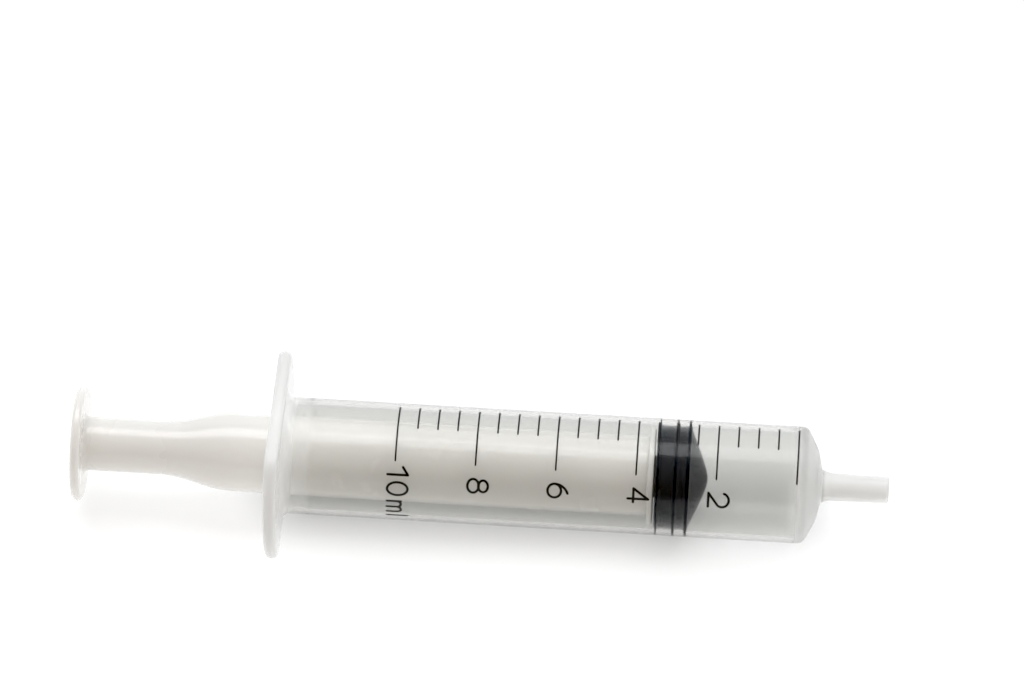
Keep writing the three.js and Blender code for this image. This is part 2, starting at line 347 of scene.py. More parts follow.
def noise(
    tree: bpy.types.NodeTree, place: bpy.types.NodeSocket, size_mm: float, detail: float = 2.0
) -> bpy.types.NodeSocket:
    """Adds a noise whose lumps have a real size.

    Args:
        tree: the material's node tree.
        place: its object coordinates.
        size_mm: how far apart the lumps are.
        detail: how many finer layers of the noise are added.

    Returns:
        The noise's value.
    """
    inputs = {"Vector": place, "Scale": 1 / (size_mm * MM), "Detail": detail}
    return add_node(tree, "TexNoise", inputs).outputs[0]


def spread(
    tree: bpy.types.NodeTree, value: bpy.types.NodeSocket, low: float, high: float
) -> bpy.types.NodeSocket:
    """Stretches a noise's usual values over a new span.

    Args:
        tree: the material's node tree.
        value: the noise's value.
        low: what the noise's low values become.
        high: what its high values become.

    Returns:
        The stretched value.
    """
    return add_node(tree, "MapRange", {0: value, 1: NOISE_LOW, 2: NOISE_HIGH, 3: low, 4: high}).outputs[0]


def bumps(tree: bpy.types.NodeTree, height: bpy.types.NodeSocket, strength: float) -> bpy.types.NodeSocket:
    """Adds the tiny bumps of a moulded or cast skin.

    Args:
        tree: the material's node tree.
        height: the noise that the bumps follow.
        strength: how strongly they tilt the light, from 0 to 1.

    Returns:
        The bumpy surface's direction.
    """
    inputs = {"Height": height, "Strength": strength, "Distance": BUMP_MM * MM}
    return add_node(tree, "Bump", inputs).outputs[0]


@dataclass(frozen=True)
class ClearPolypropylene:
    """Injection-moulded random-copolymer polypropylene, 0.8 mm thick.

    The wall is clear enough to read through. The flange and the tip are thick, which makes them whiter. The
    shoulder's blasted core leaves it frosted: it glows when empty, and rubber behind it only greys it a little.
    """

    tint: str = "e8e8e6"
    milk: str = "f9f9f8"
    shade: str = "f8f8f8"
    lustre: str = "c4c4c4"
    ior: float = 1.38
    gloss: float = 0.1
    frost: float = 0.36
    flow_mm: float = 9.0
    flow_depth: float = 0.01
    wall_clearness: float = 0.985
    lip_clearness: float = 0.83
    flange_clearness: float = 0.2
    shoulder_clearness: float = 0.88
    tip_clearness: float = 0.38
    tip_reach: float = 8.0
    lip_span: tuple[float, float] = (1.8, 3.4)
    wall_start: float = 4.2
    wall_margin: float = 1.8
    shoulder_span: tuple[float, float] = (0.4, 2.6)
    tip_start: float = 3.6

    def clearness(
        self, tree: bpy.types.NodeTree, place: bpy.types.NodeSocket, tube_end: float
    ) -> bpy.types.Node:
        """Adds the ramp along the axis that says how clear and how rough the plastic is.

        Args:
            tree: the material's node tree.
            place: its object coordinates.
            tube_end: the station where the shoulder starts, in millimetres.

        Returns:
            A node whose red is the clearness and whose green is the roughness.
        """
        stops = [
            (0.0, self.flange_clearness, self.gloss),
            (self.lip_span[0], self.lip_clearness, self.gloss),
            (self.lip_span[1], self.lip_clearness, self.gloss),
            (self.wall_start, self.wall_clearness, self.gloss),
            (tube_end - self.wall_margin, self.wall_clearness, self.gloss),
            (tube_end + self.shoulder_span[0], self.shoulder_clearness, self.frost),
            (tube_end + self.shoulder_span[1], self.shoulder_clearness, self.frost),
            (tube_end + self.tip_start, self.tip_clearness, 2 * self.gloss),
        ]
        along = add_node(tree, "SeparateXYZ", {0: place}).outputs["X"]
        start, length = FLANGE_FRONT_X, tube_end + self.tip_reach
        share = add_node(tree, "MapRange", {0: along, 1: start * MM, 2: (start + length) * MM})
        ramp = add_node(tree, "ValToRGB", {0: share.outputs[0]})
        elements = ramp.color_ramp.elements
        while len(elements) < len(stops):
            elements.new(0.5)
        for element, (station, clearness, roughness) in zip(elements, stops, strict=True):
            element.position = station / length
            element.color = (clearness, roughness, 0, 1)
        return add_node(tree, "SeparateColor", {0: ramp.outputs["Color"]})

    def material(self, tube_end: float) -> bpy.types.Material:
        """Builds the material.

        Args:
            tube_end: the station where the shoulder starts, in millimetres.

        Returns:
            The node material.
        """
        material, tree, place = new_material("polypropylene_clear_moulded")
        clear = self.clearness(tree, place, tube_end).outputs
        unevenness = spread(tree, noise(tree, place, self.flow_mm, 3.0), 0.0, self.flow_depth)
        roughness = add_node(tree, "Math", {0: clear["Green"], 1: unevenness}, operation="ADD")
        colour = add_node(
            tree,
            "Mix",
            {0: clear["Red"], 6: linear(self.milk), 7: linear(self.tint)},
            data_type="RGBA",
        )
        body = add_node(
            tree,
            "BsdfPrincipled",
            {
                "Base Color": colour.outputs[2],
                "Roughness": roughness.outputs[0],
                "IOR": self.ior,
                "Transmission Weight": clear["Red"],
                "Specular Tint": linear(self.lustre),
            },
        )
        shade = add_node(tree, "BsdfTransparent", {0: linear(self.shade)})
        in_shadow = add_node(tree, "LightPath").outputs["Is Shadow Ray"]
        shown = add_node(tree, "MixShader", {0: in_shadow, 1: body.outputs[0], 2: shade.outputs[0]})
        add_node(tree, "OutputMaterial", {0: shown.outputs[0]})
        return material


@dataclass(frozen=True)
class MilkyPolypropylene:
    """Injection-moulded homopolymer polypropylene, thick enough to look white.

    Light soaks a few millimetres into it, so its shadows are soft, and the skin has an even satin gloss.
    """

    colour: str = "eceae6"
    ior: float = 1.49
    skin_gloss: float = 0.7
    skin_roughness: float = 0.16
    roughness: tuple[float, float] = (0.2, 0.3)
    cloud_mm: float = 9.0
    skin_mm: float = 0.6
    skin_strength: float = 0.06
    soak: float = 0.7
    soak_mm: tuple[float, float, float] = (1.0, 0.95, 0.9)

    def material(self) -> bpy.types.Material:
        """Builds the material.

        Returns:
            The node material.
        """
        material, tree, place = new_material("polypropylene_milky_moulded")
        body = add_node(
            tree,
            "BsdfPrincipled",
            {
                "Base Color": linear(self.colour),
                "Roughness": spread(tree, noise(tree, place, self.cloud_mm, 3.0), *self.roughness),
                "IOR": self.ior,
                "Subsurface Weight": self.soak,
                "Subsurface Radius": self.soak_mm,
                "Subsurface Scale": MM,
                "Coat Weight": self.skin_gloss,
                "Coat Roughness": self.skin_roughness,
                "Normal": bumps(tree, noise(tree, place, self.skin_mm), self.skin_strength),
            },
        )
        add_node(tree, "OutputMaterial", {0: body.outputs[0]})
        return material


@dataclass(frozen=True)
class MouldedRubber:
    """Compression-moulded black rubber, wiped with silicone oil.

    The oil gives the black a soft grey sheen, and the mould's blasted steel leaves a fine, even grain.
    """

    colour: str = "0c131c"
    ior: float = 1.45
    roughness: tuple[float, float] = (0.24, 0.36)
    grain_mm: float = 0.25
    grain_strength: float = 0.12
    lustre: float = 0.2

    def material(self) -> bpy.types.Material:
        """Builds the material.

        Returns:
            The node material.
        """
        material, tree, place = new_material("rubber_black_moulded")
        grain = noise(tree, place, self.grain_mm)
        body = add_node(
            tree,
            "BsdfPrincipled",
            {
                "Base Color": linear(self.colour),
                "Roughness": spread(tree, grain, *self.roughness),
                "IOR": self.ior,
                "Specular IOR Level": self.lustre,
                "Normal": bumps(tree, grain, self.grain_strength),
            },
        )
        add_node(tree, "OutputMaterial", {0: body.outputs[0]})
        return material


@dataclass(frozen=True)
class PadPrintInk:
    """Black pad-printing ink, about 0.02 mm thick.

    It lies flat and matt, with tiny pale flecks where the film is thin.
    """

    colour: str = "1d1c18"
    thin_colour: str = "2b2a26"
    fleck_mm: float = 0.12
    fleck_span: tuple[float, float] = (0.5, 0.75)
    roughness: float = 0.5
    ior: float = 1.5

    def material(self) -> bpy.types.Material:
        """Builds the material.

        Returns:
            The node material.
        """
        material, tree, place = new_material("ink_black_pad_printed")
        fleck = noise(tree, place, self.fleck_mm)
        share = add_node(tree, "MapRange", {0: fleck, 1: self.fleck_span[0], 2: self.fleck_span[1]})
        colour = add_node(
            tree,
            "Mix",
            {0: share.outputs[0], 6: linear(self.colour), 7: linear(self.thin_colour)},
            data_type="RGBA",
        )
        body = add_node(
            tree,
            "BsdfPrincipled",
            {"Base Color": colour.outputs[2], "Roughness": self.roughness, "IOR": self.ior},
        )
        add_node(tree, "OutputMaterial", {0: body.outputs[0]})
        return material


@dataclass(frozen=True)
class LitTable:
    """A studio table of opal acrylic, lit softly from below.

    It is matt and pale. Its glow is dimmed in a rectangle under the syringe and rises back over a short
    distance from it: a painted shadow that stands in for the syringe's contact shadow.
    """

    centre: tuple[float, float]
    half_size: tuple[float, float]
    # Painted shadow: in the rectangle the glow falls to its shaded share, and it rises back over this distance.
    painted_shadow_fade_mm: float = 13.0
    shaded_share: float = 0.45
    colour: str = "aaaaaa"
    glow: float = 0.62
    tooth_mm: float = 1.2
    tooth_strength: float = 0.03
    roughness: float = 0.7
    lustre: float = 0.2

    def material(self) -> bpy.types.Material:
        """Builds the material.

        The distance from the rectangle is the length of max(|place - centre| - half size, 0).

        Returns:
            The node material.
        """
        material, tree, place = new_material("acrylic_opal_lit")
        steps = {
            "SUBTRACT": (self.centre[0] * MM, self.centre[1] * MM, 0),
            "ABSOLUTE": None,
            "ADD": (-self.half_size[0] * MM, -self.half_size[1] * MM, -1),
            "MAXIMUM": (0, 0, 0),
            "LENGTH": None,
        }
        away = place
        for operation, value in steps.items():
            inputs = {0: away} if value is None else {0: away, 1: value}
            step = add_node(tree, "VectorMath", inputs, operation=operation)
            away = step.outputs["Value" if operation == "LENGTH" else "Vector"]
        # Painted shadow: the glow is dimmed inside the rectangle under the syringe and fades back to full
        # outside it.
        glow = add_node(
            tree,
            "MapRange",
            {0: away, 1: 0.0, 2: self.painted_shadow_fade_mm * MM, 3: self.glow * self.shaded_share, 4: self.glow},
            interpolation_type="SMOOTHSTEP",
        )
        body = add_node(
            tree,
            "BsdfPrincipled",
            {
                "Base Color": linear(self.colour),
                "Roughness": self.roughness,
                "Specular IOR Level": self.lustre,
                "Emission Color": linear("ffffff"),
                "Emission Strength": glow.outputs[0],
                "Normal": bumps(tree, noise(tree, place, self.tooth_mm), self.tooth_strength),
            },
        )
        add_node(tree, "OutputMaterial", {0: body.outputs[0]})
        return material


# ------------------------------------------------------------------ pieces


def place_piece(
    piece: bpy.types.Object,
    body: Body,
    nodes: Sequence[str],
    material: bpy.types.Material,
) -> bpy.types.Object:
    """Dresses a piece, puts it on its body and lets it stand for its CAD nodes.

    Args:
        piece: the finished mesh object.
        body: the CAD body that it rides on.
        nodes: the CAD nodes that it replaces.
        material: its finish.

    Returns:
        The same object.
    """
    piece.data.materials.clear()
    piece.data.materials.append(material)
    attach(piece, body.value)
    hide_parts(*nodes)
    log.info("%s: %d faces on %s", piece.name, len(piece.data.polygons), body.value)
    return piece


@dataclass
class Barrel:
    """The barrel moulding: tube, finger flange, shoulder and slip tip in one closed skin."""

    radius: float = 8.3
    bore: float = 7.5
    tube_end: float = 73.3
    bore_end: float = 73.1
    flange_radius: float = 15.0
    flange_half_width: float = AXIS_Z
    flange_corner: float = 2.5
    flange_edge: float = 0.85
    flange_supports: tuple[float, float] = (0.25, 0.05)
    widest_fillet: float = 1.2
    fillet_gap: float = 0.1
    fillet_support: float = 0.3
    straight_station: float = 60.0
    rim_lead: float = 0.75
    shoulder_radius: float = 5.0
    shoulder_station: float = 75.75
    tip_base_radius: float = 2.35
    tip_base_station: float = 76.35
    tip_end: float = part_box("barrel")[1].x / MM - FLANGE_FRONT_X
    tip_root_radius: float = 2.0
    tip_root_station: float = 77.4
    tip_end_radius: float = 1.85
    tip_bore: float = 1.05
    chamber_apex: float = 75.6
    chamber_corner_radius: float = 4.6
    chamber_fall: float = 0.75
    ring_station: float = 2.5
    ring_half_width: float = 1.3
    ring_height: float = 0.15
    mouth_depth: float = 0.45
    mouth_flare: float = 0.4
    quarter_points: int = 8
    columns: int = 384

    def flange_reach(self, angles: np.ndarray) -> np.ndarray:
        """How far the flange reaches from the axis at each angle.

        The outline is a disc cut by two flats. Folded into one quarter, with t the angle from the long side,
        the reach is the disc's radius up to the corner. Round the corner, whose centre is at distance d and
        angle c with radius k, it is d cos(t - c) + sqrt(k^2 - d^2 sin^2(t - c)). Along the flat it is the half
        width / sin t.

        Args:
            angles: the angles round the axis, in radians.

        Returns:
            The reach at each angle, in millimetres.
        """
        folded = np.arctan2(np.abs(np.sin(angles)), np.abs(np.cos(angles)))
        distance = self.flange_radius - self.flange_corner
        corner_up = self.flange_half_width - self.flange_corner
        corner_out = math.sqrt(distance**2 - corner_up**2)
        corner_angle = math.atan2(corner_up, corner_out)
        flat_angle = math.atan2(self.flange_half_width, corner_out)
        away = folded - corner_angle
        under_root = np.maximum(self.flange_corner**2 - (distance * np.sin(away)) ** 2, 0)
        corner = distance * np.cos(away) + np.sqrt(under_root)
        flat = self.flange_half_width / np.maximum(np.sin(folded), 1e-6)
        reach = np.where(folded > flat_angle, flat, corner)
        return np.where(folded < corner_angle, self.flange_radius, reach)

    def flange_rows(self, angles: np.ndarray) -> tuple[np.ndarray, np.ndarray]:
        """The flange's rings, from its back face round the rim to the fillet that meets the tube.

        Rim rings keep a fixed distance inside the reach, on quarter circles of the edge's radius. Fillet
        rings follow a quarter circle whose radius narrows where the flats come close to the tube.

        Args:
            angles: the angle of each column, in radians.

        Returns:
            Radii and stations, rings by columns.
        """
        reach = self.flange_reach(angles)[None]
        back, edge = -FLANGE_THICKNESS, self.flange_edge
        quarter = np.radians(np.linspace(0, 90, self.quarter_points))[:, None]
        supports = np.array(self.flange_supports)[:, None]
        room = reach - edge - self.radius
        fillet = np.minimum(self.widest_fillet, room - self.fillet_gap)
        before_fillet = np.minimum(self.flange_supports[1], 0.2 * (room - fillet))
        rim_back = reach - edge + edge * np.sin(quarter)
        rim_front = reach - edge + edge * np.cos(quarter)
        ones = np.ones_like(reach)
        radii = [
            reach - edge - supports,
            rim_back,
            rim_front,
            reach - edge - supports[::-1],
            self.radius + fillet + before_fillet,
            self.radius + fillet * (1 - np.sin(quarter)),
            self.radius * ones,
        ]
        stations = [
            back * ones * np.ones_like(supports),
            back + edge - edge * np.cos(quarter) * ones,
            -edge + edge * np.sin(quarter) * ones,
            0 * ones * np.ones_like(supports),
            0 * ones,
            fillet * (1 - np.cos(quarter)),
            fillet + self.fillet_support,
        ]
        return np.concatenate(radii), np.concatenate(stations)

    def front_profile(self) -> Profile:
        """Draws the turned part: from the tube over the shoulder and tip, and back down the bore.

        Returns:
            The (radius, station) profile.
        """
        ring, height = self.ring_station, self.ring_height
        corners: list[Corner] = [
            (self.radius, self.straight_station, 0),
            (self.radius, self.tube_end + self.rim_lead, 1.3),
            (self.shoulder_radius, self.shoulder_station, 2.5),
            (self.tip_base_radius, self.tip_base_station, 0.5),
            (self.tip_root_radius, self.tip_root_station, 2.5),
            (self.tip_end_radius, self.tip_end, 0.4),
            (self.tip_bore, self.tip_end, 0.12),
            (self.tip_bore, self.chamber_apex, 0.4),
            (self.chamber_corner_radius, self.chamber_apex - self.chamber_fall, 3.0),
            (self.bore, self.bore_end, 0.7),
            (self.bore, ring + self.ring_half_width, 1.5),
            (self.bore - height, ring, 1.2),
            (self.bore, ring - self.ring_half_width, 1.5),
            (self.bore, self.mouth_depth - FLANGE_THICKNESS, 0.3),
            (self.bore + self.mouth_flare, -FLANGE_THICKNESS, 0.15),
            (self.bore + 2 * self.mouth_flare, -FLANGE_THICKNESS, 0),
        ]
        return rounded_profile(corners)

    def build(self) -> bpy.types.Object:
        """Builds the closed barrel: the flange's rings, then the front profile turned round the axis.

        Returns:
            The new object.
        """
        angles = np.linspace(0, 2 * np.pi, self.columns, endpoint=False)
        flange_radii, flange_stations = self.flange_rows(angles)
        front = self.front_profile()
        ones = np.ones((1, self.columns))
        radii = np.concatenate([flange_radii, front[:, :1] * ones])
        stations = np.concatenate([flange_stations, front[:, 1:] * ones])
        return surface_object("barrel_moulding", around_axis(radii, stations, angles[None]), Ends.RING)

    def dress(self, finish: ClearPolypropylene) -> bpy.types.Object:
        """Builds the barrel and gives it its finish and body."""
        material = finish.material(self.tube_end)
        return place_piece(self.build(), Body.BARREL, ["barrel"], material)


@dataclass
class PlungerRod:
    """The plunger rod moulding, from the thumb disc to the head that snaps into the stopper."""

    rear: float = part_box("plunger_rod")[0].x / MM - FLANGE_FRONT_X
    disc_radius: float = 8.2
    disc_thickness: float = 1.3
    neck_radius: float = 3.85
    neck_length: float = 10.0
    flare_length: float = 12.3
    rod_radius: float = 5.65
    rod_end: float = 51.8
    front_radius: float = 6.9
    front_thickness: float = 0.8
    stem_radius: float = 2.9
    head_radius: float = 4.3
    head_end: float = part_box("plunger_rod")[1].x / MM - FLANGE_FRONT_X
    head_chamfer: float = 0.9
    stem_length: float = 1.8
    core_radius: float = 2.6
    core_end: float = 48.5
    core_cone: float = 0.8
    neck_margin: float = 1.0
    flare_points: int = 41
    columns: int = 192

    def flare(self) -> Profile:
        """Draws the rise from the neck to the rod, s^3 (10 - 15 s + 6 s^2) over the flare's length.

        Returns:
            The flare's (radius, station) points.
        """
        share = np.linspace(0, 1, self.flare_points)
        start = self.rear + self.disc_thickness + self.neck_length
        rise = share**3 * (10 - 15 * share + 6 * share**2)
        radius = self.neck_radius + (self.rod_radius - self.neck_radius) * rise
        return np.stack([radius, start + self.flare_length * share], axis=1)

    def profile(self) -> Profile:
        """Draws the rod, from the end of the core hole round the outside to the head.

        Returns:
            The (radius, station) profile.
        """
        front = self.rear + self.disc_thickness
        disc_end = self.rod_end + self.front_thickness
        stem_end = disc_end + self.stem_length
        back = [
            (0, self.core_end + self.core_cone, 0),
            (self.core_radius, self.core_end, 0.3),
            (self.core_radius, self.rear, 0.25),
            (self.disc_radius, self.rear, 0.6),
            (self.disc_radius, front, 0.6),
            (self.neck_radius, front, 0.8),
            (self.neck_radius, front + self.neck_length - self.neck_margin, 0),
        ]
        ahead = [
            (self.rod_radius, self.core_end, 0),
            (self.rod_radius, self.rod_end, 0.3),
            (self.front_radius, self.rod_end, 0.2),
            (self.front_radius, disc_end, 0.2),
            (self.stem_radius, disc_end, 0.3),
            (self.stem_radius, stem_end, 0.1),
            (self.head_radius, stem_end, 0.15),
            (self.head_radius, self.head_end - self.head_chamfer, 0.3),
            (self.head_radius - self.head_chamfer, self.head_end, 0.3),
            (0, self.head_end, 0),
        ]
        return np.concatenate([rounded_profile(back), self.flare(), rounded_profile(ahead)])

    def build(self) -> bpy.types.Object:
        """Builds the closed rod, its profile turned round the axis."""
        return turned("plunger_rod_moulding", self.profile(), self.columns, Ends.POLES)

    def dress(self, finish: MilkyPolypropylene) -> bpy.types.Object:
        """Builds the rod and gives it its finish and body."""
        material = finish.material()
        return place_piece(self.build(), Body.PLUNGER, ["plunger_rod"], material)


@dataclass
class Stopper:
    """The rubber stopper: three thin ribs that press on the bore, and a low crowned nose."""

    rear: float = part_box("stopper")[0].x / MM - FLANGE_FRONT_X
    apex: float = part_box("stopper")[1].x / MM - FLANGE_FRONT_X
    land_radius: float = 7.3
    rib_radius: float = 7.53
    rib_stations: tuple[float, ...] = (53.15, 55.65, 57.4)
    rib_half_widths: tuple[float, ...] = (0.3, 0.32, 0.34)
    nose_base: float = 57.7
    nose_radius: float = 6.95
    nose_blunting: float = 1.5
    socket_radius: float = 4.6
    socket_floor: float = 4.4
    socket_chamfer: float = 0.9
    mouth_radius: float = 3.2
    mouth_depth: float = 1.2
    heel: float = 0.19
    side_start: float = 0.2
    hump_reach: float = 1.6
    side_points: int = 241
    nose_points: int = 28
    columns: int = 192

    def ribbed_side(self) -> Profile:
        """Draws the ribbed side: the land's radius and, at each rib, a hump of sqrt((1 + cos) / 2).

        Returns:
            The side's (radius, station) points.
        """
        station = np.linspace(self.rear + self.side_start, self.nose_base, self.side_points)
        radius = np.full_like(station, self.land_radius)
        for middle, half in zip(self.rib_stations, self.rib_half_widths, strict=True):
            reach = np.clip((station - middle) / (self.hump_reach * half), -1, 1)
            hump = ((1 + np.cos(np.pi * reach)) / 2) ** 0.5
            radius += (self.rib_radius - self.land_radius) * hump
        return np.stack([radius, station], axis=1)

    def nose(self) -> Profile:
        """Draws the nose: a cone with a rounded point, falling from the apex as sqrt(r^2 + b^2) - b.

        Returns:
            The nose's (radius, station) points.
        """
        radius = self.nose_radius * np.linspace(1, 0, self.nose_points)
        fall = np.hypot(radius, self.nose_blunting) - self.nose_blunting
        station = self.nose_base + (self.apex - self.nose_base) * (1 - fall / fall[0])
        return np.stack([radius, station], axis=1)

    def profile(self) -> Profile:
        """Draws the stopper, from the socket's floor round the outside to the apex.

        Returns:
            The (radius, station) profile.
        """
        lip, floor = self.rear + self.mouth_depth, self.rear + self.socket_floor
        inside = [
            (0, floor, 0),
            (self.socket_radius - self.socket_chamfer, floor, 0.3),
            (self.socket_radius, floor - self.socket_chamfer, 0.3),
            (self.socket_radius, lip, 0.2),
            (self.mouth_radius, lip, 0.2),
            (self.mouth_radius, self.rear, 0.2),
            (self.land_radius, self.rear, 0.18),
            (self.land_radius, self.rear + self.heel, 0),
        ]
        return np.concatenate([rounded_profile(inside), self.ribbed_side(), self.nose()])

    def build(self) -> bpy.types.Object:
        """Builds the closed stopper, its profile turned round the axis."""
        return turned("stopper_rubber_moulding", self.profile(), self.columns, Ends.POLES)

    def dress(self, finish: MouldedRubber) -> bpy.types.Object:
        """Builds the stopper and gives it its finish and body."""
        return place_piece(self.build(), Body.STOPPER, ["stopper"], finish.material())


# ------------------------------------------------------------------ print


@dataclass(frozen=True)
class Pen:
    """The printing pen: it draws flat, round-ended ribbons in (along the reading, up) millimetres."""

    half_width: float = 0.18
    below: float = -0.012
    above: float = 0.02
    step: float = 0.08
    end_steps: int = 6
    end_degrees: float = 15.0

    def line(self, start: tuple[float, float], stop: tuple[float, float]) -> np.ndarray:
        """Draws a straight pen line, its points a step apart.

        Args:
            start: its first point.
            stop: its last point.

        Returns:
            The line's points, one row each.
        """
        a, b = np.array(start, float), np.array(stop, float)
        count = max(2, math.ceil(float(np.linalg.norm(b - a)) / self.step) + 1)
        return a + (b - a) * np.linspace(0, 1, count)[:, None]

    def arc(
        self, centre: tuple[float, float], radii: tuple[float, float], start: float, stop: float
    ) -> np.ndarray:
        """Draws an arc of an oval, centre + (a cos t, b sin t).

        Args:
            centre: the oval's centre.
            radii: its half sizes, a along the reading and b up.
            start: the angle t where the arc starts, in degrees.
            stop: the angle where it stops.

        Returns:
            The arc's points, one row each.
        """
        length = max(radii) * abs(math.radians(stop - start))
        angles = np.radians(np.linspace(start, stop, max(4, math.ceil(length / self.step) + 1)))
        return np.stack(
            [centre[0] + radii[0] * np.cos(angles), centre[1] + radii[1] * np.sin(angles)], axis=1
        )

    def ribbon(self, path: np.ndarray, is_closed: bool) -> tuple[np.ndarray, Ends]:
        """Carries the pen's flat section along a path.

        The section is four corners: half the width to each side, below and above the surface. At an open end
        the half width h runs out as sqrt(h^2 - d^2), with d the distance past the end, which rounds it.

        Args:
            path: the path's points, one row each.
            is_closed: whether the path comes back to its start.

        Returns:
            The grid of section corners, and how its rows are closed.
        """
        if is_closed:
            path = path[:-1]
            heading = np.roll(path, -1, axis=0) - np.roll(path, 1, axis=0)
            half = np.full(len(path), self.half_width)
        else:
            past = self.half_width * np.sin(np.radians(np.linspace(90, self.end_degrees, self.end_steps)))
            first = (path[1] - path[0]) / np.linalg.norm(path[1] - path[0])
            last = (path[-1] - path[-2]) / np.linalg.norm(path[-1] - path[-2])
            path = np.concatenate(
                [path[0] - first * past[:, None], path, path[-1] + last * past[::-1, None]]
            )
            heading = np.gradient(path, axis=0)
            half = np.full(len(path), self.half_width)
            run_out = np.sqrt(np.maximum(self.half_width**2 - past**2, 0))
            half[: self.end_steps], half[-self.end_steps :] = run_out, run_out[::-1]
        heading = heading / np.linalg.norm(heading, axis=1)[:, None]
        side = np.stack([-heading[:, 1], heading[:, 0]], axis=1) * half[:, None]
        left, right = path + side, path - side
        low, high = np.full((len(path), 1), self.below), np.full((len(path), 1), self.above)
        corners = [
            np.concatenate([left, low], axis=1),
            np.concatenate([right, low], axis=1),
            np.concatenate([right, high], axis=1),
            np.concatenate([left, high], axis=1),
        ]
        grid = np.stack(corners, axis=1)
        if not is_closed:
            middle = (self.below + self.above) / 2
            grid[0, :, 2] = grid[-1, :, 2] = middle
        return grid, Ends.RING if is_closed else Ends.POLES


@dataclass
class Letter:
    """A printed letter: its width, and the pen paths that draw it."""

    width: float
    paths: list[tuple[np.ndarray, bool]]


@dataclass
class PrintedScale:
    """The dose scale: a line every half millilitre, long ones with numerals at the even millilitres."""

    pen: Pen
    line_pen: Pen
    barrel: Barrel
    zero_station: float = 72.8
    capacity: int = 10
    far_degrees: float = 113.0
    long_near: float = 45.0
    short_near: float = 80.0
    letter_height: float = 3.25
    letter_lift: float = 0.45
    letter_gap: float = 0.75
    digit_start: float = 33.5
    ten_start: float = 41.0

    def station_of(self, volume: float) -> float:
        """The station that reads a volume: the bore holds a millilitre in 1000 / (pi r^2) millimetres."""
        return self.zero_station - volume * 1000 / (math.pi * self.barrel.bore**2)

    def letters(self) -> dict[str, Letter]:
        """Draws the lettering, the pen's centre line half a pen's width inside each letter's box.

        Returns:
            Each letter by its character.
        """
        pen, low = self.pen, self.pen.half_width
        top = self.letter_height - low
        wide = 2.4
        right, middle = wide - low, wide / 2
        span = middle - low
        bowl, stem, bar = 0.95, 1.7, 0.95
        flag, flag_drop = 1.3, 0.75
        hook_degrees, sweep = 35, 2.0
        lower_ring, upper_ring, upper_inset = 0.8, 0.675, 0.15
        half_height = self.letter_height / 2
        hook_turn = math.radians(hook_degrees)
        arch_top, arch = 2.15, 0.575
        hook_end = (middle + span * math.cos(hook_turn), top - bowl - bowl * math.sin(hook_turn))
        legs = [low + 2 * arch, low + 4 * arch]
        return {
            "1": Letter(flag + low, [
                (pen.line((flag, low), (flag, top)), False),
                (pen.line((flag, top), (low, top - flag_drop)), False),
            ]),
            "2": Letter(wide, [
                (np.concatenate([
                    pen.arc((middle, top - bowl), (span, bowl), 165, -hook_degrees),
                    pen.line(hook_end, (low, low))[1:],
                ]), False),
                (pen.line((low, low), (right, low)), False),
            ]),
            "4": Letter(wide, [
                (pen.line((stem, low), (stem, top)), False),
                (pen.line((stem, top), (low, bar)), False),
                (pen.line((low, bar), (right, bar)), False),
            ]),
            "6": Letter(wide, [
                (pen.arc((middle, low + bowl), (span, bowl), 0, 360), True),
                (pen.arc((right, low + bowl), (2 * span, sweep), 180, 110), False),
            ]),
            "8": Letter(wide, [
                (pen.arc((middle, low + lower_ring), (span, lower_ring), 0, 360), True),
                (pen.arc((middle, top - upper_ring), (span - upper_inset, upper_ring), 0, 360), True),
            ]),
            "0": Letter(wide, [
                (pen.arc((middle, half_height), (span, top - half_height), 0, 360), True),
            ]),
            "m": Letter(legs[1] + low, [
                (pen.line((low, low), (low, arch_top)), False),
                *[
                    (np.concatenate([
                        pen.arc((leg - arch, arch_top - arch), (arch, arch), 180, 0),
                        pen.line((leg, arch_top - arch), (leg, low))[1:],
                    ]), False)
                    for leg in legs
                ],
            ]),
            "l": Letter(2 * low, [(pen.line((low, low), (low, top)), False)]),
        }

    def wrap(self, piece: bpy.types.Object, start_degrees: float, foot: float) -> bpy.types.Object:
        """Wraps a flat piece round the barrel: the angle falls by u / r, and the height adds to the radius.

        Args:
            piece: a mesh in (along the reading, up, off the surface) millimetres.
            start_degrees: the angle where the reading starts.
            foot: the station of the letters' feet.

        Returns:
            The same object, its vertices in the part's frame.
        """
        flat = np.empty(len(piece.data.vertices) * 3, np.float32)
        piece.data.vertices.foreach_get("co", flat)
        along, up, off = (flat.reshape(-1, 3).astype(float) / MM).T
        angles = math.radians(start_degrees) - along / self.barrel.radius
        points = around_axis(self.barrel.radius + off, foot + up, angles)
        piece.data.vertices.foreach_set("co", (points * MM).astype(np.float32).ravel())
        piece.data.polygons.foreach_set("use_smooth", np.zeros(len(piece.data.polygons), bool))
        piece.data.update()
        return piece

    def print_letter(
        self, name: str, letter: Letter, start_degrees: float, volume: float
    ) -> bpy.types.Object:
        """Draws, joins and wraps one letter.

        Args:
            name: the piece's name.
            letter: what is drawn.
            start_degrees: the angle where the reading starts.
            volume: the millilitres whose line the letter is centred on, but for its lift.

        Returns:
            The new object.
        """
        ribbons = [
            surface_object(f"{name}_{i}", *self.pen.ribbon(path, is_closed))
            for i, (path, is_closed) in enumerate(letter.paths)
        ]
        foot = self.station_of(volume) + self.letter_lift - self.letter_height / 2
        return self.wrap(joined(name, ribbons), start_degrees, foot)

    def print_line(self, name: str, volume: float, near: float) -> bpy.types.Object:
        """Draws and wraps one graduation line.

        Args:
            name: the piece's name.
            volume: the millilitres that it marks.
            near: the angle where it stops, in degrees.

        Returns:
            The new object.
        """
        length = self.barrel.radius * math.radians(self.far_degrees - near)
        low = self.line_pen.half_width
        path = self.line_pen.line((low, 0.0), (length - low, 0.0))
        line = surface_object(name, *self.line_pen.ribbon(path, False))
        return self.wrap(line, self.far_degrees, self.station_of(volume))

